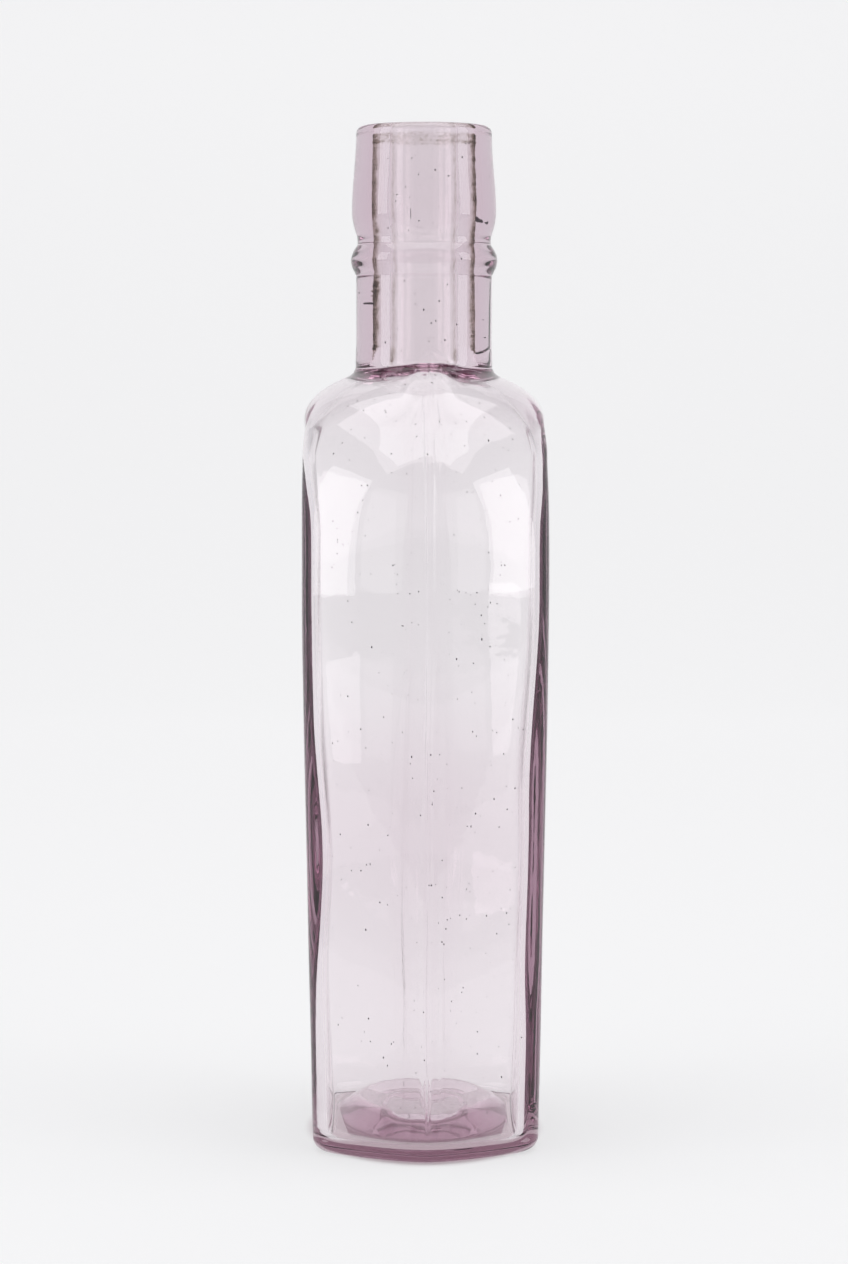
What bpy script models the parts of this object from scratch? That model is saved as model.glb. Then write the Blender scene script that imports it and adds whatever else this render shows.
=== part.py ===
"""An empty, uncapped glass flask bottle, modelled in metres with +Z up.

The origin is the middle of the footprint on the surface that the bottle stands on.
X runs across the thin way and Y along the broad way, so a mould seam lies on +Y and -Y.
"""

import math

import bmesh
import bpy

MM = 0.001

# Overall size
HEIGHT = 208.2 * MM
WIDEST_Z = 113.0 * MM
HALF_WIDTH = 24.9 * MM
HALF_DEPTH = 39.5 * MM

# Body taper below the widest place
WIDTH_TAPER = 0.0195
DEPTH_TAPER = 0.022
TAPER_EASE = 12.0 * MM

# Plan section: two bowed faces that meet their seams in a soft ridge, and flat sides between them
RIDGE_SLOPE = 0.30
RIDGE_EASE = 1.8 * MM
BOW = 11.0
CORNER_RADIUS = 6.5 * MM

# Shoulder, first across the thin way and then along the broad way
SIDE_SHOULDER_Z = 147.5 * MM
SIDE_SHOULDER_RISE = 11.25 * MM
SIDE_SHOULDER_POWER = 2.15
SEAM_SHOULDER_RISE = 47.0 * MM
SEAM_SHOULDER_POWER = 2.2
NECK_FILLET = 2.9 * MM
ROUNDING_LOW_Z = 142.0 * MM
ROUNDING_HIGH_Z = 156.0 * MM

# Neck finish, from the top down
NECK_RADIUS = 14.0 * MM
RIM_RADIUS = 14.0 * MM
RIM_EDGE = 1.5 * MM
LIP_RADIUS = 14.9 * MM
LIP_Z = 190.8 * MM
LIP_LOW_Z = 185.4 * MM
GROOVE_RADIUS = 13.75 * MM
GROOVE_Z = 184.1 * MM
RING_RADIUS = 15.1 * MM
RING_Z = 180.8 * MM
RING_HALF_HEIGHT = 3.2 * MM

# Base
HEEL_RADIUS = 2.8 * MM
FOOT_WIDTH = 5.5 * MM
KICK_UP = 0.9 * MM

# Glass thickness and cavity
FLOOR_Z = 3.3 * MM
FLOOR_CORNER = 3.2 * MM
SIDE_WALL = 2.3 * MM
SIDE_WALL_EXTRA = 1.5 * MM
SEAM_WALL = 2.4 * MM
SEAM_WALL_EXTRA = 0.4 * MM
THICK_Z = 54.0 * MM
THICK_SPREAD = 26.0 * MM
SHOULDER_SAG = 2.4 * MM
INNER_CORNER = 6.0 * MM
BORE_RADIUS = 6.8 * MM
BORE_FILLET = 2.2 * MM
BORE_START_Z = 166.0 * MM
MOUTH_ROUND = 1.0 * MM

# Points on one quarter of a section: bowed face, corner and flat side
BOW_STEPS = 5
CORNER_STEPS = 3
SIDE_STEPS = 2

GLASS_COLOUR = (0.80, 0.68, 0.77, 1.0)
GLASS_ROUGHNESS = 0.03
GLASS_IOR = 1.5


def smooth_step(t):
    """0 to 1 with a level start and end."""
    t = min(max(t, 0.0), 1.0)
    return t * t * (3.0 - 2.0 * t)


def soft_max(a, b, ease):
    """The larger of two lengths, with a fillet where they meet."""
    return 0.5 * (a + b + math.hypot(a - b, ease))


def eased_taper(z, slope):
    """How much narrower the body is at z than at its widest place."""
    return slope * (math.hypot(WIDEST_Z - z, TAPER_EASE) - TAPER_EASE)


def shoulder_share(z, start, rise, power):
    """A superellipse quarter: 1 below start, falling to 0 at start plus rise."""
    u = min(max((z - start) / rise, 0.0), 0.9999)
    return (1.0 - u**power) ** (1.0 / power)


def body_width(z):
    """Outer half width of the bare body along X."""
    taper = eased_taper(min(z, WIDEST_Z), WIDTH_TAPER)
    share = shoulder_share(z, SIDE_SHOULDER_Z, SIDE_SHOULDER_RISE, SIDE_SHOULDER_POWER)
    return (HALF_WIDTH - taper) * share


def body_depth(z):
    """Outer half depth of the bare body along Y, at the seam."""
    taper = eased_taper(min(z, WIDEST_Z), DEPTH_TAPER)
    share = shoulder_share(z, WIDEST_Z, SEAM_SHOULDER_RISE, SEAM_SHOULDER_POWER)
    return (HALF_DEPTH - taper) * share


def side_wall(z):
    return SIDE_WALL + SIDE_WALL_EXTRA * math.exp(-(((z - THICK_Z) / THICK_SPREAD) ** 2))


def seam_wall(z):
    return SEAM_WALL + SEAM_WALL_EXTRA * math.exp(-(((z - THICK_Z) / THICK_SPREAD) ** 2))


def round_share(z):
    """0 on the flask-shaped body, 1 where the section has become round."""
    return smooth_step((z - ROUNDING_LOW_Z) / (ROUNDING_HIGH_Z - ROUNDING_LOW_Z))


def flask_quarter(width, depth, corner):
    """One quarter of the body section, from the seam at (0, depth) to the side at (width, 0)."""

    def drop(x):
        return RIDGE_SLOPE * (math.hypot(x, RIDGE_EASE) - RIDGE_EASE) + BOW * x * x

    def slope(x):
        return RIDGE_SLOPE * x / math.hypot(x, RIDGE_EASE) + 2.0 * BOW * x

    # The corner arc touches the bowed face at the x found here, and the flat side
    low, high = 0.0, width
    for _ in range(40):
        x = 0.5 * (low + high)
        if x - corner * slope(x) / math.hypot(1.0, slope(x)) < width - corner:
            low = x
        else:
            high = x
    touch = 0.5 * (low + high)
    start = math.atan2(1.0, slope(touch))
    centre_y = depth - drop(touch) - corner * math.sin(start)

    points = []
    for i in range(BOW_STEPS + 1):
        x = touch * i / BOW_STEPS
        points.append((x, depth - drop(x)))
    for i in range(1, CORNER_STEPS + 1):
        angle = start * (1.0 - i / CORNER_STEPS)
        points.append((width - corner + corner * math.cos(angle), centre_y + corner * math.sin(angle)))
    for i in range(1, SIDE_STEPS + 1):
        points.append((width, centre_y * (1.0 - i / SIDE_STEPS)))
    return points


def round_quarter(width, depth):
    """One quarter of an ellipse with as many points as flask_quarter gives."""
    steps = BOW_STEPS + CORNER_STEPS + SIDE_STEPS
    angles = [0.5 * math.pi * i / steps for i in range(steps + 1)]
    return [(width * math.sin(a), depth * math.cos(a)) for a in angles]


def section(z, width, depth, roundness, corner):
    """A whole closed section at height z, as (x, y, z) points that run anticlockwise from +X."""
    flask = flask_quarter(width, depth, corner)
    ellipse = round_quarter(width, depth)
    quarter = []
    for (fx, fy), (ex, ey) in zip(flask, ellipse):
        quarter.append((fx + (ex - fx) * roundness, fy + (ey - fy) * roundness))
    last = len(quarter) - 1
    plan = [quarter[i] for i in range(last, 0, -1)]
    plan += [(-quarter[i][0], quarter[i][1]) for i in range(last)]
    plan += [(-quarter[i][0], -quarter[i][1]) for i in range(last, 0, -1)]
    plan += [(quarter[i][0], -quarter[i][1]) for i in range(last)]
    return [(x, y, z) for x, y in plan]


def ring_of_radius(z, radius):
    return section(z, radius, radius, 1.0, radius * 0.5)


def base_sections():
    """The kicked-up bottom, the flat foot that it stands on and the rounded heel."""
    foot_width = body_width(0.0) - HEEL_RADIUS
    foot_depth = body_depth(0.0) - HEEL_RADIUS
    inner_width = foot_width - FOOT_WIDTH
    inner_depth = foot_depth - FOOT_WIDTH
    rings = []
    for share in (0.3, 0.65, 0.9):
        corner = CORNER_RADIUS * share
        height = KICK_UP * (1.0 - smooth_step(share))
        rings.append(section(height, inner_width * share, inner_depth * share, 0.0, corner))
    rings.append(section(0.0, inner_width, inner_depth, 0.0, CORNER_RADIUS))
    heel_steps = 4
    for i in range(heel_steps + 1):
        angle = 0.5 * math.pi * i / heel_steps
        z = HEEL_RADIUS * (1.0 - math.cos(angle))
        inset = HEEL_RADIUS * (1.0 - math.sin(angle))
        rings.append(section(z, body_width(z) - inset, body_depth(z) - inset, 0.0, CORNER_RADIUS))
    return rings


def body_sections():
    """The tapered body and the shoulder, up to the foot of the neck."""
    heights = [14.0, 30.0, 46.0, 62.0, 78.0, 92.0, 104.0, 113.0, 120.0, 126.0, 132.0, 137.0, 141.0, 144.5]
    heights += [147.5, 149.5, 151.2, 152.8, 154.2, 155.5, 156.7, 157.9, 159.3, 161.5]
    rings = []
    for height in heights:
        z = height * MM
        width = body_width(z)
        depth = body_depth(z)
        if z > ROUNDING_LOW_Z:
            width = soft_max(width, NECK_RADIUS, NECK_FILLET)
            depth = soft_max(depth, NECK_RADIUS, NECK_FILLET)
        rings.append(section(z, width, depth, round_share(z), CORNER_RADIUS))
    return rings


def finish_sections():
    """The round neck with its ring, the swelling lip above it and the rounded rim."""
    rings = [ring_of_radius(RING_Z - 1.12 * RING_HALF_HEIGHT, NECK_RADIUS)]
    bulge_steps = 6
    for i in range(bulge_steps + 1):
        t = -1.0 + 2.0 * i / bulge_steps
        foot = NECK_RADIUS if t < 0.0 else GROOVE_RADIUS
        radius = foot + (RING_RADIUS - foot) * math.cos(0.5 * math.pi * t)
        rings.append(ring_of_radius(RING_Z + t * RING_HALF_HEIGHT, radius))
    rings.append(ring_of_radius(0.5 * (GROOVE_Z + LIP_LOW_Z), GROOVE_RADIUS + 0.15 * MM))
    swell_steps = 4
    for i in range(1, swell_steps + 1):
        t = i / swell_steps
        radius = GROOVE_RADIUS + (LIP_RADIUS - GROOVE_RADIUS) * math.sin(0.5 * math.pi * t)
        rings.append(ring_of_radius(LIP_LOW_Z + (LIP_Z - LIP_LOW_Z) * t, radius))
    rim_z = HEIGHT - RIM_EDGE
    taper_steps = 3
    for i in range(1, taper_steps + 1):
        t = i / taper_steps
        radius = LIP_RADIUS + (RIM_RADIUS - LIP_RADIUS) * smooth_step(t)
        rings.append(ring_of_radius(LIP_Z + (rim_z - LIP_Z) * t, radius))
    edge_steps = 3
    for i in range(1, edge_steps + 1):
        angle = 0.5 * math.pi * i / edge_steps
        radius = RIM_RADIUS - RIM_EDGE * (1.0 - math.cos(angle))
        rings.append(ring_of_radius(rim_z + RIM_EDGE * math.sin(angle), radius))
    return rings


def mouth_sections():
    """The inner edge of the rim and the straight bore, from the top down."""
    rings = []
    edge_steps = 2
    for i in range(edge_steps + 1):
        angle = 0.5 * math.pi * i / edge_steps
        radius = BORE_RADIUS + MOUTH_ROUND * (1.0 - math.sin(angle))
        rings.append(ring_of_radius(HEIGHT - MOUTH_ROUND * (1.0 - math.cos(angle)), radius))
    rings.append(ring_of_radius(0.5 * (HEIGHT + BORE_START_Z), BORE_RADIUS))
    return rings


def cavity_section(z):
    """The inside of the body at z. Its shoulder lies lower than the outer one by the glass there."""
    outer_z = z + SHOULDER_SAG * smooth_step((z - WIDEST_Z) / (ROUNDING_LOW_Z - WIDEST_Z))
    width = body_width(outer_z) - side_wall(z)
    depth = body_depth(outer_z) - seam_wall(z)
    if z > WIDEST_Z:
        width = soft_max(width, BORE_RADIUS, BORE_FILLET)
        depth = soft_max(depth, BORE_RADIUS, BORE_FILLET)
    corner = min(INNER_CORNER, 0.6 * width)
    return section(z, width, depth, round_share(z + SHOULDER_SAG), corner)


def cavity_sections():
    """The cavity from the bore down to its rounded floor."""
    heights = [166.0, 161.5, 159.0, 157.2, 155.8, 154.5, 153.0, 151.4, 149.5, 147.0, 144.0, 140.0, 135.0]
    heights += [129.0, 121.0, 112.0, 98.0, 82.0, 66.0, 50.0, 34.0, 18.0]
    rings = [cavity_section(height * MM) for height in heights]
    floor_steps = 4
    for i in range(floor_steps + 1):
        angle = 0.5 * math.pi * i / floor_steps
        z = FLOOR_Z + FLOOR_CORNER * (1.0 - math.sin(angle))
        inset = FLOOR_CORNER * (1.0 - math.cos(angle))
        width = body_width(z) - side_wall(z) - inset
        depth = body_depth(z) - seam_wall(z) - inset
        rings.append(section(z, width, depth, 0.0, INNER_CORNER))
    floor_width = body_width(FLOOR_Z) - side_wall(FLOOR_Z) - FLOOR_CORNER
    floor_depth = body_depth(FLOOR_Z) - seam_wall(FLOOR_Z) - FLOOR_CORNER
    for share in (0.6, 0.25):
        rings.append(section(FLOOR_Z, floor_width * share, floor_depth * share, 0.0, INNER_CORNER * share))
    return rings


def loft(name, rings):
    """One closed mesh through all the rings, closed by a fan of faces at its two ends."""
    mesh = bmesh.new()
    loops = [[mesh.verts.new(point) for point in ring] for ring in rings]
    count = len(loops[0])
    for lower, upper in zip(loops, loops[1:]):
        for i in range(count):
            j = (i + 1) % count
            mesh.faces.new((lower[i], lower[j], upper[j], upper[i]))
    for loop, turn in ((loops[0], -1), (loops[-1], 1)):
        centre = mesh.verts.new((0.0, 0.0, loop[0].co.z))
        for i in range(count):
            j = (i + 1) % count
            mesh.faces.new((centre, loop[i], loop[j]) if turn > 0 else (centre, loop[j], loop[i]))
    bmesh.ops.recalc_face_normals(mesh, faces=mesh.faces)
    data = bpy.data.meshes.new(name)
    mesh.to_mesh(data)
    mesh.free()
    data.shade_smooth()
    return data


def glass_material():
    """Clear glass with the faint mauve tint of old sun-struck bottles."""
    material = bpy.data.materials.new("tinted_glass")
    material.use_nodes = True
    shader = material.node_tree.nodes["Principled BSDF"]
    shader.inputs["Base Color"].default_value = GLASS_COLOUR
    shader.inputs["Roughness"].default_value = GLASS_ROUGHNESS
    shader.inputs["Metallic"].default_value = 0.0
    shader.inputs["IOR"].default_value = GLASS_IOR
    shader.inputs["Transmission Weight"].default_value = 1.0
    return material


def clear_scene():
    for existing in list(bpy.data.objects):
        bpy.data.objects.remove(existing, do_unlink=True)


def main():
    clear_scene()
    parts = bpy.data.collections.new("flask_bottle")
    bpy.context.scene.collection.children.link(parts)
    rings = base_sections() + body_sections() + finish_sections() + mouth_sections() + cavity_sections()
    bottle = bpy.data.objects.new("bottle", loft("bottle", rings))
    bottle.data.materials.append(glass_material())
    parts.objects.link(bottle)


main()
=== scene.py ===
import math

import bpy
import numpy as np
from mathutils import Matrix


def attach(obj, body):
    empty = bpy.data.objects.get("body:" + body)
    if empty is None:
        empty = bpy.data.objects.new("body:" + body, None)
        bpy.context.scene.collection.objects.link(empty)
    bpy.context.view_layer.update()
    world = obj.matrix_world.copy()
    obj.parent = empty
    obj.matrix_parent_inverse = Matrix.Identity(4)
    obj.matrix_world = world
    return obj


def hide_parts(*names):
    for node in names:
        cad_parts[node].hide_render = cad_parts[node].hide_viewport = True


# Old mauve glass flask, seen from its narrow side on a pale sweep
# Metres, +Z up, mould seams on -Y (towards the camera) and +Y

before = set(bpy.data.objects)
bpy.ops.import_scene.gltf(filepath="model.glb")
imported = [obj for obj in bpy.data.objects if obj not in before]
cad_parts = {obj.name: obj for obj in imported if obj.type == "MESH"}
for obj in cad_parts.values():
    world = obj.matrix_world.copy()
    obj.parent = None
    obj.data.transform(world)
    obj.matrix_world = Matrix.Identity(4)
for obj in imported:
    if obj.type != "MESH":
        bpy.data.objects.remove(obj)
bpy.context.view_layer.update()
mm = 0.001
quarterTurn = 0.5 * math.pi
fullTurn = 2 * math.pi
rng = np.random.default_rng(31)  # places and sizes of the seeds


def smoothStep(t):
    # 0 below 0 and 1 above 1, with three t squared less two t cubed between
    t = np.clip(t, 0.0, 1.0)
    return t * t * (3.0 - 2.0 * t)


def rising(z, low, rise):
    # 0 up to low, 1 from low plus rise
    return smoothStep((z - low) / rise)


def falling(z, high, fall):
    # 0 from high up, 1 below high less fall
    return smoothStep((high - z) / fall)


def softMax(a, b, ease):
    # the larger of the two, rounded where they meet: half their sum and half the hypotenuse of gap and ease
    return 0.5 * (a + b + np.hypot(a - b, ease))


def hump(z, centre, spread):
    # a bell: 1 at its centre, 0.37 one spread away
    return np.exp(-(((z - centre) / spread) ** 2))


def span(start, stop, count):
    return np.linspace(start, stop, count)


def stretches(runs):
    # several runs of evenly spaced values in one row
    return np.concatenate([span(*run) for run in runs])


# Body outline, the same formulas as the solid

body = {
    "height": 208.2 * mm, "widestZ": 113 * mm, "halfWidth": 24.9 * mm, "halfDepth": 39.5 * mm,
    "widthTaper": 0.0195, "depthTaper": 0.022, "taperEase": 12 * mm,
    "ridgeSlope": 0.30, "ridgeEase": 1.8 * mm, "bow": 11.0, "corner": 6.5 * mm,
    "sideZ": 147.5 * mm, "sideRise": 11.25 * mm, "sidePower": 2.15,
    "seamRise": 47 * mm, "seamPower": 2.2,
    "joinZ": 138 * mm, "joinRise": 4 * mm, "fillet": 2.9 * mm, "filletTop": 166 * mm, "filletFall": 6 * mm,
    "roundLow": 142 * mm, "roundRise": 14 * mm,
    "heel": 2.8 * mm, "foot": 5.5 * mm, "kickUp": 0.9 * mm,
    "bowSteps": 30, "bowPower": 1.5, "cornerSteps": 10, "sideSteps": 9, "roundPower": 1.25, "arcRows": 12,
    "halvings": 40,
    "bottomRows": ((0.06, 0.9, 40), (0.92, 1, 5)),  # shares of the foot: from, to and how many
    "rows": ((5, 138, 58), (139, 155, 29), (155.4, 165, 36)),  # heights in mm: from, to and how many
}

finish = {
    "neck": 14 * mm, "groove": 13.75 * mm, "grooveZ": 184.1 * mm,
    "ring": 15.1 * mm, "ringZ": 180.8 * mm, "ringHalf": 3.2 * mm,
    "lip": 14.9 * mm, "lipZ": 190.8 * mm, "lipLowZ": 185.4 * mm,
    "rim": 14 * mm, "rimEdge": 1.5 * mm, "rimRows": 8,
    "rows": ((166, 176.5, 8), (177.0, 184.6, 34), (185.0, 206.6, 44)),
    "bore": 6.9 * mm, "boreRows": (206, 166.5, 44), "boreTop": 205 * mm, "boreTopFall": 6 * mm,
    "boreChanges": ((185.4, 2.2, -0.16), (177, 3, -0.10), (192, 6, 0.14)),  # height, spread and change in mm
    "mouthRound": 1.0 * mm, "mouthRows": 7,
}

cavity = {
    "floorZ": 2.1 * mm, "floorCorner": 2.6 * mm, "floorRows": (0.98, 0.04, 40),
    "dome": 4.2 * mm, "domeX": 20 * mm, "domeY": 31.5 * mm, "domeFlat": 0.56, "domeBack": 3 * mm,
    "corner": 4.8 * mm, "lowCorner": 2.0 * mm, "lowCornerHigh": 45 * mm, "lowCornerFall": 35 * mm,
    "cornerShare": 0.6,  # the most of the half width that a corner takes
    "ridgeEase": 4.5 * mm, "sag": 2.0 * mm, "rows": ((166, 136, 48), (134, 7.5, 58)),
    "joinZ": 125 * mm, "joinRise": 10 * mm, "boreFillet": 5.0 * mm, "filletFall": 9 * mm,
    "lift": 1.4 * mm, "liftZ": 156 * mm, "liftSpread": 3 * mm, "liftHalf": 1.5 * mm, "liftFall": 5 * mm,
}

walls = {
    "left": 2.7 * mm, "leftSwell": 1.9 * mm, "leftSwellZ": 61 * mm, "leftSpread": 18 * mm,
    "leftThinner": 0.6 * mm, "thinnerLow": 128 * mm, "thinnerRise": 14 * mm,
    "right": 2.7 * mm, "rightSwell": 1.9 * mm, "rightHigh": 112 * mm, "rightFall": 42 * mm,
    "rightEase": 0.35, "easeHigh": 40 * mm, "easeFall": 20 * mm,
    "seam": 3.3 * mm, "seamLow": 1.5 * mm, "seamHigh": 98 * mm, "seamFall": 45 * mm,
    "seamSwell": 2.0 * mm, "seamSwellZ": 64 * mm, "seamSpread": 21 * mm,
}


def easedTaper(z, slope):
    # slope times the distance below the widest height, rounded near it
    ease = body["taperEase"]
    return slope * (np.hypot(body["widestZ"] - z, ease) - ease)


def shoulderShare(z, start, rise, power):
    # a quarter of a superellipse: 1 at the start, almost 0 a rise above it
    u = np.clip((z - start) / rise, 0.0, 0.9999)
    return (1.0 - u ** power) ** (1.0 / power)


def bodyWidth(z):
    # half width: the widest less the taper, times the shoulder's superellipse
    taper = easedTaper(np.minimum(z, body["widestZ"]), body["widthTaper"])
    share = shoulderShare(z, body["sideZ"], body["sideRise"], body["sidePower"])
    return (body["halfWidth"] - taper) * share


def bodyDepth(z):
    # half depth from the middle to a seam, in the same way
    taper = easedTaper(np.minimum(z, body["widestZ"]), body["depthTaper"])
    share = shoulderShare(z, body["widestZ"], body["seamRise"], body["seamPower"])
    return (body["halfDepth"] - taper) * share


def roundShare(z):
    # how far a section has gone from the flask's shape to a circle
    return rising(z, body["roundLow"], body["roundRise"])


def leftWall(z):
    # a base thickness, a bell low on the body, and a little less on the shoulder
    swell = walls["leftSwell"] * hump(z, walls["leftSwellZ"], walls["leftSpread"])
    thinner = walls["leftThinner"] * rising(z, walls["thinnerLow"], walls["thinnerRise"])
    return walls["left"] + swell - thinner


def rightWall(z):
    # a base thickness and a swell that grows downwards and gives way again near the floor
    ease = 1 - walls["rightEase"] * falling(z, walls["easeHigh"], walls["easeFall"])
    return walls["right"] + walls["rightSwell"] * falling(z, walls["rightHigh"], walls["rightFall"]) * ease


def seamWall(z):
    # thicker towards the bottom, most of all round the swell
    low = walls["seamLow"] * falling(z, walls["seamHigh"], walls["seamFall"])
    return walls["seam"] + low + walls["seamSwell"] * hump(z, walls["seamSwellZ"], walls["seamSpread"])


def innerCorner(z):
    # larger low on the body
    low = falling(z, cavity["lowCornerHigh"], cavity["lowCornerFall"])
    return cavity["corner"] + cavity["lowCorner"] * low


def boreRadius(z):
    # straight, a little wider inside the lip and pinched under it and under the ring
    change = sum(by * mm * hump(z, at * mm, spread * mm) for at, spread, by in finish["boreChanges"])
    return finish["bore"] + change * falling(z, finish["boreTop"], finish["boreTopFall"])


# Sections of the bottle

def bowDrop(x, ease):
    # how far the bowed face falls back from the seam: ridgeSlope times a rounded |x| plus bow times x squared
    return body["ridgeSlope"] * (np.hypot(x, ease) - ease) + body["bow"] * x * x


def bowSlope(x, ease):
    # how steeply it falls there
    return body["ridgeSlope"] * x / np.hypot(x, ease) + 2 * body["bow"] * x


def flaskQuarter(width, depth, corner, ease):
    # a quarter of a section from the seam to the side, for every ring at once: the bowed face, then a corner
    # arc that touches it, then a flat side
    low, high = np.zeros_like(width), width.copy()
    for _ in range(body["halvings"]):  # close in on the x where arc and bow touch
        x = 0.5 * (low + high)
        slope = bowSlope(x, ease)
        left = x - corner * slope / np.hypot(1.0, slope) < width - corner
        low, high = np.where(left, x, low), np.where(left, high, x)
    touch = 0.5 * (low + high)
    start = np.arctan2(1.0, bowSlope(touch, ease))
    centreY = depth - bowDrop(touch, ease) - corner * np.sin(start)
    bowShare = span(0, 1, body["bowSteps"] + 1) ** body["bowPower"]  # closer together at the seam
    bowX = touch[:, None] * bowShare
    arc = start[:, None] * (1 - span(0, 1, body["cornerSteps"] + 1)[1:])
    sideT = 1 - span(0, 1, body["sideSteps"] + 1)[1:]
    xs = np.hstack([bowX, (width - corner)[:, None] + corner[:, None] * np.cos(arc),
                    np.repeat(width[:, None], body["sideSteps"], 1)])
    ys = np.hstack([depth[:, None] - bowDrop(bowX, ease), centreY[:, None] + corner[:, None] * np.sin(arc),
                    centreY[:, None] * sideT])
    return xs, ys


def quarter(width, depth, roundness, corner, ease):
    # the flask's quarter, moved towards an ellipse's quarter by the share of roundness
    xs, ys = flaskQuarter(width, depth, corner, ease)
    count = body["bowSteps"] + body["cornerSteps"] + body["sideSteps"]
    angle = quarterTurn * span(0, 1, count + 1) ** body["roundPower"]
    share = roundness[:, None]
    return (xs + (width[:, None] * np.sin(angle) - xs) * share,
            ys + (depth[:, None] * np.cos(angle) - ys) * share)


def rings(z, right, left, depth, roundness, corner, ease=body["ridgeEase"]):
    # four quarters a ring, anticlockwise from +X, with a width of their own on the right and on the left
    z, right, left, depth, roundness, corner = np.broadcast_arrays(z, right, left, depth, roundness, corner)
    rx, ry = quarter(right, depth, roundness, corner, ease)
    lx, ly = quarter(left, depth, roundness, corner, ease)
    xs = np.hstack([rx[:, :0:-1], -lx[:, :-1], -lx[:, :0:-1], rx[:, :-1]])
    ys = np.hstack([ry[:, :0:-1], ly[:, :-1], -ly[:, :0:-1], -ry[:, :-1]])
    return np.stack([xs, ys, np.repeat(z[:, None], xs.shape[1], 1)], 2)


def roundRings(z, radius):
    # circles, for which any corner smaller than the radius does
    return rings(z, radius, radius, radius, 1.0, 0.5 * radius)


def bottomRings():
    # from the middle out to the foot, lowered to the ground by a smooth step, then the heel's quarter circle
    share = stretches(body["bottomRows"])
    footWidth = bodyWidth(0.0) - body["heel"] - body["foot"]
    footDepth = bodyDepth(0.0) - body["heel"] - body["foot"]
    kick = body["kickUp"] * (1 - smoothStep(share))
    under = rings(kick, footWidth * share, footWidth * share, footDepth * share, 0.0, body["corner"] * share)
    angle = quarterTurn * span(0, 1, body["arcRows"])
    z = body["heel"] * (1 - np.cos(angle))
    inset = body["heel"] * (1 - np.sin(angle))
    heel = rings(z, bodyWidth(z) - inset, bodyWidth(z) - inset, bodyDepth(z) - inset, 0.0, body["corner"])
    return np.vstack([under, heel])


def sideRings():
    # body and shoulder, joined to the neck by a rounded maximum of the two widths
    z = stretches(body["rows"]) * mm
    blend = rising(z, body["joinZ"], body["joinRise"])
    fillet = body["fillet"] * falling(z, body["filletTop"], body["filletFall"])
    wide, deep = [size + (softMax(size, finish["neck"], fillet) - size) * blend
                  for size in (bodyWidth(z), bodyDepth(z))]
    return rings(z, wide, wide, deep, roundShare(z), body["corner"])


def neckRadius(z):
    # half a cosine wave for the ring, a quarter sine wave for the lip's swell, then a smooth lean to the rim
    t = np.clip((z - finish["ringZ"]) / finish["ringHalf"], -1, 1)
    foot = np.where(t < 0, finish["neck"], finish["groove"])
    ring = foot + (finish["ring"] - foot) * np.cos(quarterTurn * t)
    swell = np.clip((z - finish["lipLowZ"]) / (finish["lipZ"] - finish["lipLowZ"]), 0, 1)
    lip = finish["groove"] + (finish["lip"] - finish["groove"]) * np.sin(quarterTurn * swell)
    top = body["height"] - finish["rimEdge"]
    lean = rising(z, finish["lipZ"], top - finish["lipZ"])
    return np.where(z < finish["grooveZ"], ring, lip - (finish["lip"] - finish["rim"]) * lean)


def outerRings():
    # bottom, body, neck, and the rim's quarter circle
    z = stretches(finish["rows"]) * mm
    angle = quarterTurn * span(0, 1, finish["rimRows"])[1:]
    rim = roundRings(body["height"] - finish["rimEdge"] * (1 - np.sin(angle)),
                     finish["rim"] - finish["rimEdge"] * (1 - np.cos(angle)))
    return np.vstack([bottomRings(), sideRings(), roundRings(z, neckRadius(z)), rim])


def boreRings():
    # the mouth's quarter circle and the bore, from the top down
    angle = quarterTurn * span(0, 1, finish["mouthRows"])
    mouth = roundRings(body["height"] - finish["mouthRound"] * (1 - np.cos(angle)),
                       finish["bore"] + finish["mouthRound"] * (1 - np.sin(angle)))
    z = span(*finish["boreRows"]) * mm
    return np.vstack([mouth, roundRings(z, boreRadius(z))])


def innerSizes(z, outerZ):
    # half widths and half depth of the cavity at z, taken from the outline at outerZ
    wide, deep = bodyWidth(outerZ), bodyDepth(outerZ)
    return wide - rightWall(z), wide - leftWall(z), deep - seamWall(z)


def innerSideRings():
    # inner shoulder and body, the shoulder lower than the outer one by the glass there
    z = stretches(cavity["rows"]) * mm
    outerZ = z + cavity["sag"] * rising(z, body["widestZ"], body["roundLow"] - body["widestZ"])
    blend = rising(z, cavity["joinZ"], cavity["joinRise"])
    fillet = cavity["boreFillet"] * falling(z, body["filletTop"], cavity["filletFall"])
    right, left, deep = [size + (softMax(size, boreRadius(z), fillet) - size) * blend
                         for size in innerSizes(z, outerZ)]
    corner = np.minimum(innerCorner(z), cavity["cornerShare"] * left)
    return rings(z, right, left, deep, roundShare(z + cavity["sag"]), corner, cavity["ridgeEase"])


def floorRings():
    # a quarter circle in from the walls, then flat rings, raised to an oval plateau with a sloping rim
    angle = quarterTurn * span(0, 1, body["arcRows"])
    z = cavity["floorZ"] + cavity["floorCorner"] * (1 - np.sin(angle))
    sizes = [size - cavity["floorCorner"] * (1 - np.cos(angle)) for size in innerSizes(z, z)]
    edge = rings(z, *sizes, 0.0, innerCorner(z), cavity["ridgeEase"])
    share = span(*cavity["floorRows"])
    flat = rings(np.full(len(share), cavity["floorZ"]), *[size[-1] * share for size in sizes], 0.0,
                 innerCorner(0.0) * share, cavity["ridgeEase"])
    oval = np.hypot(flat[..., 0] / cavity["domeX"], (flat[..., 1] - cavity["domeBack"]) / cavity["domeY"])
    flat[..., 2] += cavity["dome"] * (1 - rising(oval, cavity["domeFlat"], 1 - cavity["domeFlat"]))
    return np.vstack([edge, flat])


# Grid of points to a closed mesh

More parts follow.
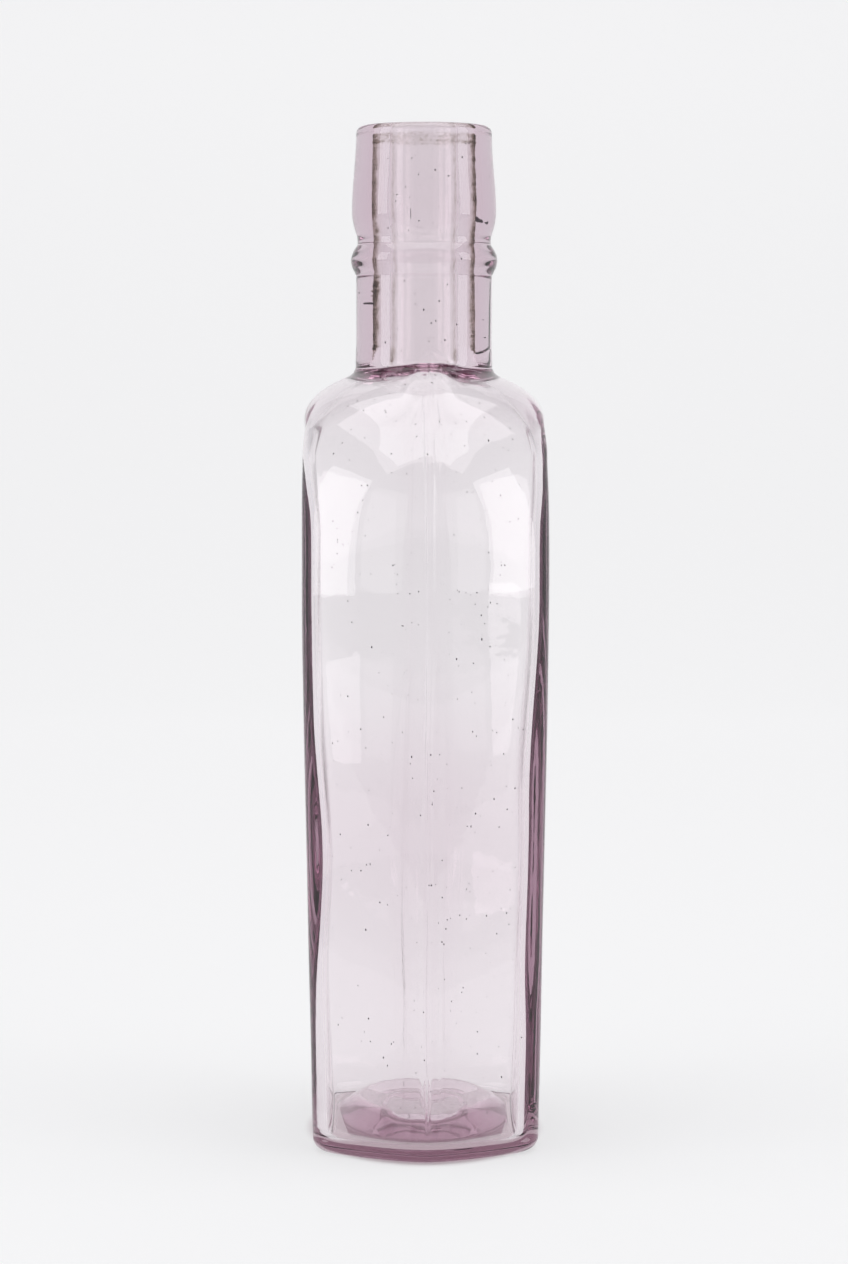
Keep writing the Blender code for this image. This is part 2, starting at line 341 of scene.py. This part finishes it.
def tubeFaces(rows, columns):
    # quads between neighbouring rings, each ring joined to its own start
    index = np.arange(rows * columns).reshape(rows, columns)
    turned = np.roll(index, -1, 1)
    return np.stack([index[:-1], turned[:-1], turned[1:], index[1:]], 2).reshape(-1, 4)


def closedTube(grid):
    # the tube's quads, and a fan of triangles to the middle of the first ring and of the last
    rows, columns = grid.shape[:2]
    verts = np.vstack([grid.reshape(-1, 3), grid[0].mean(0), grid[-1].mean(0)])
    first, last = np.arange(columns), np.arange(columns) + (rows - 1) * columns
    low = np.stack([np.full(columns, len(verts) - 2), np.roll(first, -1), first], 1)
    high = np.stack([np.full(columns, len(verts) - 1), last, np.roll(last, -1)], 1)
    return verts, tubeFaces(rows, columns), np.vstack([low, high])


def makeMesh(name, verts, quads, triangles):
    # a smooth shaded object from its points, its quads and its triangles
    mesh = bpy.data.meshes.new(name)
    sides = np.concatenate([np.full(len(quads), 4), np.full(len(triangles), 3)])
    mesh.vertices.add(len(verts))
    mesh.vertices.foreach_set("co", verts.astype(np.float32).ravel())
    mesh.loops.add(int(sides.sum()))
    corners = np.concatenate([quads.ravel(), triangles.ravel()])
    mesh.loops.foreach_set("vertex_index", corners.astype(np.int32))
    mesh.polygons.add(len(sides))
    mesh.polygons.foreach_set("loop_start", (np.cumsum(sides) - sides).astype(np.int32))
    mesh.update(calc_edges=True)
    mesh.validate()
    mesh.shade_smooth()
    made = bpy.data.objects.new(name, mesh)
    bpy.context.collection.objects.link(made)
    return made


def gridCross(grid):
    # the cross product of the steps to the next column and to the next row, as long as the area there
    across = np.roll(grid, -1, 1) - np.roll(grid, 1, 1)
    return np.cross(across, np.gradient(grid, axis=0))


def gridNormals(grid):
    # the same at length 1
    normal = gridCross(grid)
    return normal / np.maximum(np.linalg.norm(normal, axis=2, keepdims=True), 1e-12)


# Mould and hand-made marks

marks = {
    "low": 4 * mm, "rise": 8 * mm,  # no marks under the bottom
    "seam": 0.34 * mm, "seamHalf": 0.30 * mm, "seamTop": 177 * mm, "seamTopFall": 1.5 * mm,
    "faint": 0.75, "faintLow": 160 * mm, "faintRise": 2 * mm,  # the seam is fainter on the neck
    "shift": 1.1 * mm, "shiftLow": 20 * mm, "shiftRise": 90 * mm,
    "sway": ((0.25, 19), (0.15, 7.3)), "swayHigh": 150 * mm, "swayFall": 20 * mm,
    "chevron": 0.30 * mm, "chevronHalf": 0.24 * mm, "chevronTop": 162.4 * mm, "armSlopes": (0.975, 0.675),
    "armMiddle": 1.4 * mm, "armReach": 4.3 * mm, "armScale": 1.35, "armFade": 1 * mm,
    "wave": 0.05 * mm, "waveTop": 206 * mm, "waveTopFall": 6 * mm, "draw": 5,
    "baseRing": 0.18 * mm, "baseRingHalf": 0.5 * mm, "baseRingX": 7.0 * mm, "baseRingY": 11.5 * mm,
    "baseRingZ": 1.2 * mm, "baseRingReach": 20 * mm,
    "sinkTall": 26 * mm, "sinkX": 9 * mm, "shoulderZ": 145 * mm, "shoulderTall": 7 * mm,
}

inside = {
    "wave": 0.06 * mm, "least": 0.15, "low": 6 * mm, "rise": 10 * mm, "high": 156 * mm, "fall": 8 * mm,
    "top": 205 * mm, "topFall": 8 * mm, "floorLow": 3.4 * mm, "floorRise": 3 * mm,
    "band": 0.22 * mm, "bandHalf": 1.6 * mm, "bandEdge": 0.4 * mm, "bandSway": 0.4 * mm, "bandLength": 23,
    "draw": 12,
}

ripples = {
    "runs": ((1, 52), (2, 33), (3, 74), (5, 47), (7, 120), (9, 61)),  # waves a turn, and length in mm
    "calm": 0.3, "level": 2.2, "phases": 6.28,
}


def ripple(x, y, z, seed):
    # a sum of a few slow sine waves that run round and along the bottle, smaller the more there are in a turn
    turn = np.arctan2(y, x)
    draw = np.random.default_rng(seed)
    waves = [np.sin(around * turn + z / mm * fullTurn / long + draw.uniform(0, ripples["phases"]))
             / (1 + ripples["calm"] * around) for around, long in ripples["runs"]]
    return sum(waves) / ripples["level"]


def seamCourse(z):
    # two slow sine waves that die out on the shoulder, and a shift to the right that grows upwards
    sway = sum(size * mm * np.sin(z / mm / long) for size, long in marks["sway"])
    shift = marks["shift"] * rising(z, marks["shiftLow"], marks["shiftRise"])
    return sway * falling(z, marks["swayHigh"], marks["swayFall"]) + shift


def seamHeight(x, z, course):
    # a bell across the seam, fainter on the neck and gone under the ring
    neck = 1 - marks["faint"] * rising(z, marks["faintLow"], marks["faintRise"])
    return hump(x, course, marks["seamHalf"]) * falling(z, marks["seamTop"], marks["seamTopFall"]) * neck


def chevronHeight(x, z, course):
    # a bell along two arms that fall from the top with slopes of their own, where the seam meets the neck
    leftSlope, rightSlope = marks["armSlopes"]
    arms = marks["chevronTop"] - np.abs(x - course) * np.where(x > course, rightSlope, leftSlope)
    along = np.abs(x - course - marks["armMiddle"]) * marks["armScale"]
    return hump(z, arms, marks["chevronHalf"]) * falling(along, marks["armReach"], marks["armFade"])


def baseRingHeight(x, y, z):
    # a bell round an oval, on the outside of the bottom only
    oval = (np.hypot(x / marks["baseRingX"], y / marks["baseRingY"]) - 1) * marks["baseRingX"]
    under = (z < marks["baseRingZ"]) & (np.abs(y) < marks["baseRingReach"])
    return hump(oval, 0, marks["baseRingHalf"]) * under


def outerMarks(grid):
    # the surface moved along its normals by the sum of ripples, seam, chevron and base ring
    x, y, z = grid[..., 0], grid[..., 1], grid[..., 2]
    side = rising(z, marks["low"], marks["rise"])
    course = seamCourse(z)
    # ripples and seam sink in where the bottle is widest, so that they stay inside the solid's box
    widest = hump(z, body["widestZ"], marks["sinkTall"]) * hump(x, 0, marks["sinkX"])
    widest = widest + hump(z, marks["shoulderZ"], marks["shoulderTall"])
    waves = (ripple(x, y, z, marks["draw"]) - widest) * side
    waves = waves * falling(z, marks["waveTop"], marks["waveTopFall"])
    push = marks["seam"] * side * (seamHeight(x, z, course) - widest) + marks["wave"] * waves
    push = push + marks["chevron"] * chevronHeight(x, z, course)
    push = push + marks["baseRing"] * baseRingHeight(x, y, z)
    return grid + gridNormals(grid) * push[..., None]


def innerMarks(grid):
    # ripples, a narrow thicker band along each seam, and a hollow at the foot of the neck there
    x, y, z = grid[..., 0], grid[..., 1], grid[..., 2]
    inBody = rising(z, inside["low"], inside["rise"]) * falling(z, inside["high"], inside["fall"])
    waves = ripple(x, y, z, inside["draw"]) * (inside["least"] + (1 - inside["least"]) * inBody)
    waves = waves * falling(z, inside["top"], inside["topFall"])
    fromBand = np.abs(x - marks["shift"] + inside["bandSway"] * np.sin(z / mm / inside["bandLength"]))
    band = inBody * falling(fromBand, inside["bandHalf"], inside["bandEdge"])
    push = inside["wave"] * waves + inside["band"] * band
    push = push * rising(z, inside["floorLow"], inside["floorRise"])
    away = rising(fromBand, cavity["liftHalf"], cavity["liftFall"])
    lift = cavity["lift"] * hump(z, cavity["liftZ"], cavity["liftSpread"]) * (1 - away)
    return grid + gridNormals(grid) * push[..., None] + lift[..., None] * (0, 0, 1)


print("glass: rings and marks")
outer = outerMarks(outerRings())
inner = innerMarks(np.vstack([boreRings(), innerSideRings(), floorRings()]))
flaskGlass = makeMesh("flaskGlass", *closedTube(np.vstack([outer, inner])))
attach(flaskGlass, "root")
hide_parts("bottle")


# Stain left in the bore: a thin uneven layer just inside the glass, thickest at the sides and under the mouth

stain = {
    "depth": 0.06 * mm, "low": 158.5 * mm, "lowRise": 2 * mm, "high": 206.6 * mm, "highFall": 0.5 * mm,
    "rows": 240, "columns": 150, "thinnest": 0.003 * mm, "everywhere": 0.001 * mm,
    "side": 0.115 * mm, "sideTurn": 4.0, "sideSpread": 11.0,
    "leftShare": 0.9, "leftMore": 0.9, "leftHigh": 180 * mm, "leftFall": 6 * mm,
    "mouth": 0.045 * mm, "mouthZ": 206.4 * mm, "mouthSpread": 1.6 * mm,
    "line": 1.6, "lineZ": 204.6 * mm, "lineSpread": 0.25 * mm,
    "leastSpot": 0.15, "spots": 2.2, "spotPower": 2.5, "draw": 7,
    "patchRows": 8, "patchColumns": 5, "leastPatch": 0.3, "patches": 1.4,
    "colour": (0.42, 0.34, 0.26), "density": 4300.0,
}


def patchy(rows, columns, seed):
    # random spots raised to a power, so that most are thin, times coarser patches that run into each other
    draw = np.random.default_rng(seed)
    fine = draw.random((rows, columns)) ** stain["spotPower"]
    coarse = draw.random((rows // stain["patchRows"] + 1, columns // stain["patchColumns"]))
    wide = np.repeat(np.repeat(coarse, stain["patchRows"], 0)[:rows], stain["patchColumns"], 1)
    wide = 0.25 * (wide + np.roll(wide, 2, 0) + np.roll(wide, 2, 1) + np.roll(wide, -3, 0))
    return fine * (stain["leastPatch"] + stain["patches"] * wide)


def stainThickness(turn, z):
    # bells at the two sides and under the mouth, times the spots, down to the thinnest at the two ends
    spots = stain["leastSpot"] + stain["spots"] * patchy(stain["rows"], stain["columns"], stain["draw"])
    middles = (stain["sideTurn"], 180 - stain["sideTurn"])
    right, left = [hump(np.abs((np.degrees(turn) - at + 180) % 360 - 180), 0, stain["sideSpread"])
                   for at in middles]
    leftShare = stain["leftShare"] + stain["leftMore"] * falling(z, stain["leftHigh"], stain["leftFall"])
    line = hump(z, stain["lineZ"], stain["lineSpread"])
    mouth = hump(z, stain["mouthZ"], stain["mouthSpread"]) + stain["line"] * line
    ends = rising(z, stain["low"], stain["lowRise"]) * falling(z, stain["high"], stain["highFall"])
    thick = stain["everywhere"] + stain["side"] * (right + leftShare * left) + stain["mouth"] * mouth
    return thick * spots * ends + stain["thinnest"]


def makeStain():
    # two tubes, the outer one with its rows running up and the inner one back down, joined at both ends
    turn = span(0, fullTurn, stain["columns"] + 1)[:-1]
    z = span(stain["low"], stain["high"], stain["rows"])[:, None]
    thick = stainThickness(turn, z)
    radius = boreRadius(z) + stain["depth"] + np.zeros_like(thick)
    shells = [np.stack([r * np.cos(turn), r * np.sin(turn), z + np.zeros_like(r)], 2)
              for r in (radius + thick, radius)]
    grid = np.vstack([shells[0], shells[1][::-1]])
    rows, columns = grid.shape[:2]
    faces = tubeFaces(rows + 1, columns) % (rows * columns)  # the row after the last is the first
    made = makeMesh("boreStain", grid.reshape(-1, 3), faces, np.zeros((0, 3), int))
    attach(made, "root")
    return made


print("stain in the bore")
boreStain = makeStain()


# Painted shade on the two flat sides: a very thin plum layer just under the surface, which dims what is seen
# along them and darkens the edge strips

# painted shade: the colour and density of the layer that darkens the two edge strips
edgeShade = {
    "depth": 0.05 * mm, "thick": 0.03 * mm, "low": 6 * mm, "high": 138 * mm, "halfColumns": 13,
    "colour": (0.30, 0.20, 0.27), "density": 1500.0,
}


def makeEdgeShade(name, middle):
    # a flat closed tube: along the outside from column to column, and back along the inside
    rows = np.flatnonzero((outer[:, 0, 2] > edgeShade["low"]) & (outer[:, 0, 2] < edgeShade["high"]))[:, None]
    columns = np.arange(middle - edgeShade["halfColumns"], middle + edgeShade["halfColumns"] + 1)
    grid, normal = outer[rows, columns], gridNormals(outer)[rows, columns]
    outside = grid - normal * edgeShade["depth"]
    back = (outside - normal * edgeShade["thick"])[:, ::-1]
    made = makeMesh(name, *closedTube(np.hstack([outside, back])))
    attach(made, "root")
    return made


print("painted_shading of the sides")
edgeShadeLayers = [makeEdgeShade("rightEdgeShade", 0), makeEdgeShade("leftEdgeShade", outer.shape[1] // 2)]


# Seeds: tiny stretched specks caught in the glass, on the front, the back and round the neck

seeds = {
    "body": 400, "bodyZ": (8 * mm, 158 * mm), "bodyX": 20 * mm,
    "neck": 110, "neckZ": (160 * mm, 205 * mm), "neckX": 10 * mm,
    "depth": (0.5, 2.0), "scatter": 0.7, "aside": 0.5, "size": (0.05, 0.165), "sizePower": 1.7,  # in mm
    "stretch": (1.0, 1.7), "turns": 7, "levels": 5, "colour": (0.12, 0.09, 0.11, 1),
}


def pickPoints(zRange, reach, count):
    # random points of the outer grid between two heights and within reach of the seams, as many to each bit
    # of surface: the chance goes with the area round a point
    low, high = zRange
    choice = np.argwhere((outer[..., 2] > low) & (outer[..., 2] < high) & (np.abs(outer[..., 0]) < reach))
    area = np.linalg.norm(gridCross(outer), axis=2)[tuple(choice.T)]
    return choice[rng.choice(len(choice), count, p=area / area.sum())]


def seedPlaces():
    # from a point of the surface straight into the glass, and a little aside
    picks = np.vstack([pickPoints(seeds["bodyZ"], seeds["bodyX"], seeds["body"]),
                       pickPoints(seeds["neckZ"], seeds["neckX"], seeds["neck"])])
    normal = gridNormals(outer)[picks[:, 0], picks[:, 1]]
    depth = rng.uniform(*seeds["depth"], len(picks)) * mm
    shift = rng.normal(0, seeds["scatter"], (len(picks), 3)) * mm * (1 - np.abs(normal))
    return outer[picks[:, 0], picks[:, 1]] - normal * depth[:, None] + shift * seeds["aside"]


def makeSeeds():
    # one ball from two angles, stretched upwards and copied to every place
    around = span(0, fullTurn, seeds["turns"] + 1)[:-1]
    up = span(0, math.pi, seeds["levels"] + 2)[1:-1]
    ball = np.stack([np.sin(up)[:, None] * np.cos(around), np.sin(up)[:, None] * np.sin(around),
                     np.repeat(-np.cos(up)[:, None], seeds["turns"], 1)], 2)
    verts, quads, ends = closedTube(ball)
    verts[-2:] = [(0, 0, -1), (0, 0, 1)]
    places = seedPlaces()
    least, most = seeds["size"]
    size = rng.uniform(0, 1, len(places)) ** seeds["sizePower"] * (most - least) + least
    scale = np.stack([size, size, size * rng.uniform(*seeds["stretch"], len(places))], 1) * mm
    every = places[:, None] + verts[None] * scale[:, None]
    step = (np.arange(len(places)) * len(verts))[:, None, None]
    made = makeMesh("seedSpecks", every.reshape(-1, 3), (quads[None] + step).reshape(-1, 4),
                    (ends[None] + step).reshape(-1, 3))
    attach(made, "root")
    return made


print("seeds")
seedSpecks = makeSeeds()


# Materials

def newMaterial(name):
    material = bpy.data.materials.new(name)
    material.use_nodes = True
    tree = material.node_tree
    return material, tree, tree.nodes["Principled BSDF"]


def addNode(tree, kind, values=None):
    node = tree.nodes.new("ShaderNode" + kind)
    for key, value in (values or {}).items():
        node.inputs[key].default_value = value
    return node


def addNoise(tree, scale, detail):
    # noise that stays in place on the object
    place = addNode(tree, "TexCoord")
    noise = addNode(tree, "TexNoise", {"Scale": scale, "Detail": detail})
    tree.links.new(place.outputs["Object"], noise.inputs["Vector"])
    return noise.outputs["Fac"]


def addRoughness(tree, shader, noise, values):
    spread = addNode(tree, "MapRange", values)
    tree.links.new(noise, spread.inputs["Value"])
    tree.links.new(spread.outputs["Result"], shader.inputs["Roughness"])


def addBump(tree, shader, noise, strength, distance):
    bump = addNode(tree, "Bump", {"Strength": strength, "Distance": distance})
    tree.links.new(noise, bump.inputs["Height"])
    tree.links.new(bump.outputs["Normal"], shader.inputs["Normal"])


def addAbsorption(tree, colour, density):
    absorb = addNode(tree, "VolumeAbsorption", {"Color": (*colour, 1), "Density": density})
    tree.links.new(absorb.outputs["Volume"], tree.nodes["Material Output"].inputs["Volume"])


glass = {
    "ior": 1.5, "tint": (0.70, 0.50, 0.61), "density": 44.0,
    "blotches": 55, "blotchDetail": 4,
    "blotchRange": {"From Min": 0.45, "From Max": 0.8, "To Min": 0.0, "To Max": 0.03},
    "skin": 90, "skinDetail": 3, "skinBump": 0.12, "skinHeight": 0.4 * mm,
}

film = {
    "grain": 2500, "detail": 3, "bump": 0.05, "height": 0.02 * mm,
    "roughness": {"To Min": 0.0, "To Max": 0.02},
}

speck = {
    "grain": 6000, "detail": 3, "bump": 0.3, "height": 0.02 * mm,
    "roughness": {"To Min": 0.4, "To Max": 0.8},
}


def glassMaterial():
    # clear at the surface, a little hazy in blotches and uneven, and coloured by how much glass light crosses
    material, tree, shader = newMaterial("tinted_glass")
    shader.inputs["Base Color"].default_value = (1, 1, 1, 1)
    shader.inputs["IOR"].default_value = glass["ior"]
    shader.inputs["Transmission Weight"].default_value = 1.0
    blotches = addNoise(tree, glass["blotches"], glass["blotchDetail"])
    addRoughness(tree, shader, blotches, glass["blotchRange"])
    skin = addNoise(tree, glass["skin"], glass["skinDetail"])
    addBump(tree, shader, skin, glass["skinBump"], glass["skinHeight"])
    addAbsorption(tree, glass["tint"], glass["density"])
    return material


def filmMaterial(name, colour, density):
    # lets light straight through and only takes some of it away
    material, tree, shader = newMaterial(name)
    shader.inputs["Base Color"].default_value = (1, 1, 1, 1)
    shader.inputs["IOR"].default_value = 1.0
    shader.inputs["Specular IOR Level"].default_value = 0.0
    shader.inputs["Transmission Weight"].default_value = 1.0
    noise = addNoise(tree, film["grain"], film["detail"])
    addRoughness(tree, shader, noise, film["roughness"])
    addBump(tree, shader, noise, film["bump"], film["height"])
    addAbsorption(tree, colour, density)
    return material


def seedMaterial():
    # dull dark specks
    material, tree, shader = newMaterial("seed_specks")
    shader.inputs["Base Color"].default_value = seeds["colour"]
    noise = addNoise(tree, speck["grain"], speck["detail"])
    addRoughness(tree, shader, noise, speck["roughness"])
    addBump(tree, shader, noise, speck["bump"], speck["height"])
    return material


print("materials")
flaskGlass.data.materials.append(glassMaterial())
boreStain.data.materials.append(filmMaterial("bore_stain", stain["colour"], stain["density"]))
# painted shade for the edge strips, as an absorbing film
edgeShadeMaterial = filmMaterial("painted_edge_shade", edgeShade["colour"], edgeShade["density"])
for piece in edgeShadeLayers:
    piece.data.materials.append(edgeShadeMaterial)
seedSpecks.data.materials.append(seedMaterial())


# Stage: a floor that curves up into a backdrop, both pale

stage = {
    "halfWidth": 1.0, "front": -0.30, "back": 1.25, "bend": 0.35, "top": 2.2,
    "floorRows": 19, "bendRows": 25, "wallRows": 12, "columns": 3,
    "shade": (0.35, 0.35, 0.352), "roughness": 0.9, "specular": 0.1,
    # painted shadow: a dim mauve glow under the bottle stands in for its contact shadow and for the tinted
    # light through its glass
    "glow": (0.578, 0.578, 0.584), "paintedShadowGlow": (0.34, 0.28, 0.305),
    "paintedShadowSize": (0.024, 0.037, 0.02), "paintedShadowEdge": {"From Min": 0.93, "From Max": 1.06},
    "farGlow": {"From Min": 0.1, "From Max": 1.0, "To Min": 1.0, "To Max": 1.105},
}


def sweepProfile():
    # flat floor, a quarter circle up, then an upright wall
    angle = span(0, quarterTurn, stage["bendRows"])
    bendY = stage["back"] - stage["bend"]
    floorY = span(stage["front"], bendY, stage["floorRows"] + 1)[:-1]
    wallZ = span(stage["bend"], stage["top"], stage["wallRows"] + 1)[1:]
    y = np.concatenate([floorY, bendY + stage["bend"] * np.sin(angle), np.full(len(wallZ), stage["back"])])
    z = np.concatenate([np.zeros(len(floorY)), stage["bend"] * (1 - np.cos(angle)), wallZ])
    return y, z


def sweepGlow(tree, shader):
    # the glow that evens out the paper, with a painted shadow: held back where the bottle stands and tinted
    # mauve there as painted light passed through the glass, and a little stronger far off, where the lamps
    # reach less
    place = addNode(tree, "TexCoord")
    squeeze = addNode(tree, "VectorMath")
    squeeze.operation = "MULTIPLY"
    squeeze.inputs[1].default_value = [1 / size for size in stage["paintedShadowSize"]]
    length = addNode(tree, "VectorMath")
    length.operation = "LENGTH"
    spread = addNode(tree, "MapRange", stage["paintedShadowEdge"])
    spread.interpolation_type = "SMOOTHSTEP"
    blend = addNode(tree, "Mix")
    blend.data_type = "RGBA"
    # under takes the painted shadow colour under the bottle, away the even glow of the paper
    under, away = [socket for socket in blend.inputs if socket.type == "RGBA"]
    under.default_value, away.default_value = (*stage["paintedShadowGlow"], 1), (*stage["glow"], 1)
    glow = [socket for socket in blend.outputs if socket.type == "RGBA"][0]
    parts = addNode(tree, "SeparateXYZ")
    farther = addNode(tree, "MapRange", stage["farGlow"])
    tree.links.new(place.outputs["Object"], squeeze.inputs[0])
    tree.links.new(squeeze.outputs["Vector"], length.inputs[0])
    tree.links.new(length.outputs["Value"], spread.inputs["Value"])
    tree.links.new(spread.outputs["Result"], blend.inputs["Factor"])
    tree.links.new(glow, shader.inputs["Emission Color"])
    tree.links.new(place.outputs["Object"], parts.inputs["Vector"])
    tree.links.new(parts.outputs["Y"], farther.inputs["Value"])
    tree.links.new(farther.outputs["Result"], shader.inputs["Emission Strength"])


def makeSweep():
    # the profile carried across from side to side
    profileY, profileZ = sweepProfile()
    x, y = np.meshgrid(span(-stage["halfWidth"], stage["halfWidth"], stage["columns"]), profileY)
    grid = np.stack([x, y, np.repeat(profileZ[:, None], x.shape[1], 1)], 2)
    index = np.arange(x.size).reshape(x.shape)
    faces = np.stack([index[:-1, :-1], index[:-1, 1:], index[1:, 1:], index[1:, :-1]], 2).reshape(-1, 4)
    sweep = makeMesh("sweep", grid.reshape(-1, 3), faces, np.zeros((0, 3), int))
    material, tree, shader = newMaterial("sweepPaper")
    shader.inputs["Base Color"].default_value = (*stage["shade"], 1)
    shader.inputs["Roughness"].default_value = stage["roughness"]
    shader.inputs["Specular IOR Level"].default_value = stage["specular"]
    sweepGlow(tree, shader)
    sweep.data.materials.append(material)
    return sweep


print("stage, light and camera")
sweep = makeSweep()

# upright soft boxes beside and in front of the bottle and a large one overhead; turn is in degrees
lamps = {
    "left": {"turn": -70, "far": 1.0, "z": 0.455, "size": (0.33, 0.77), "power": 1.7},
    "right": {"turn": 68, "far": 1.0, "z": 0.455, "size": (0.33, 0.77), "power": 1.72},
    "leftFill": {"turn": -48, "far": 1.1, "z": 0.46, "size": (0.40, 0.75), "power": 0.6},
    "rightFill": {"turn": 48, "far": 1.1, "z": 0.46, "size": (0.34, 0.75), "power": 0.55},
    "top": {"turn": 0, "far": 0.2, "z": 1.25, "size": (1.75, 1.0), "power": 10},
}

for name, lamp in lamps.items():
    light = bpy.data.lights.new(name, "AREA")
    light.shape = "RECTANGLE"
    light.size, light.size_y = lamp["size"]
    light.energy = lamp["power"]
    holder = bpy.data.objects.new(name, light)
    bpy.context.collection.objects.link(holder)
    turn = math.radians(lamp["turn"])
    holder.location = (lamp["far"] * math.sin(turn), -lamp["far"] * math.cos(turn), lamp["z"])
    holder.rotation_euler = (0 if name == "top" else quarterTurn, 0, turn)

# brightest at the bottle's two sides and behind it, dimmer towards the camera and overhead
sky = {
    "colour": (0.98, 0.98, 1.0, 1),
    "behind": {"From Min": -0.6, "From Max": 0.1, "To Min": 0.34, "To Max": 0.85},
    "above": {"From Min": 0.35, "From Max": 0.8, "To Min": 1.0, "To Max": 0.3},
}


def makeWorld():
    # the product of one smooth step along Y and one along Z of the direction
    world = bpy.data.worlds.new("studio")
    world.use_nodes = True
    tree = world.node_tree
    way = addNode(tree, "TexCoord")
    parts = addNode(tree, "SeparateXYZ")
    both = addNode(tree, "Math")
    both.operation = "MULTIPLY"
    tree.links.new(way.outputs["Generated"], parts.inputs["Vector"])
    for place, (axis, key) in enumerate((("Y", "behind"), ("Z", "above"))):
        ramp = addNode(tree, "MapRange", sky[key])
        ramp.interpolation_type = "SMOOTHSTEP"
        tree.links.new(parts.outputs[axis], ramp.inputs["Value"])
        tree.links.new(ramp.outputs["Result"], both.inputs[place])
    tree.links.new(both.outputs["Value"], tree.nodes["Background"].inputs["Strength"])
    tree.nodes["Background"].inputs["Color"].default_value = sky["colour"]
    return world


camera = {
    "distance": 0.694, "height": 0.1515, "turn": math.radians(-0.8), "down": math.radians(3.92),
    "sensor": 36, "focalPixels": 3345, "pictureHeight": 1264, "bounces": 64, "seeThrough": 24,
}


def makeCamera():
    # on a circle round the bottle, looking at its axis and a little down
    lens = bpy.data.cameras.new("camera")
    lens.sensor_fit = "VERTICAL"
    lens.sensor_height = camera["sensor"]
    lens.lens = camera["focalPixels"] / camera["pictureHeight"] * camera["sensor"]
    eye = bpy.data.objects.new("camera", lens)
    bpy.context.collection.objects.link(eye)
    eye.location = (camera["distance"] * math.sin(camera["turn"]),
                    -camera["distance"] * math.cos(camera["turn"]), camera["height"])
    eye.rotation_euler = (quarterTurn - camera["down"], 0, camera["turn"])
    return eye


scene = bpy.context.scene
scene.camera = makeCamera()
scene.world = makeWorld()
scene.view_settings.view_transform = "Standard"
scene.cycles.max_bounces = camera["bounces"]
scene.cycles.transmission_bounces = camera["bounces"]
scene.cycles.glossy_bounces = camera["bounces"]
scene.cycles.transparent_max_bounces = camera["seeThrough"]
scene.cycles.caustics_refractive = True
scene.cycles.caustics_reflective = True
scene.cycles.use_denoising = True
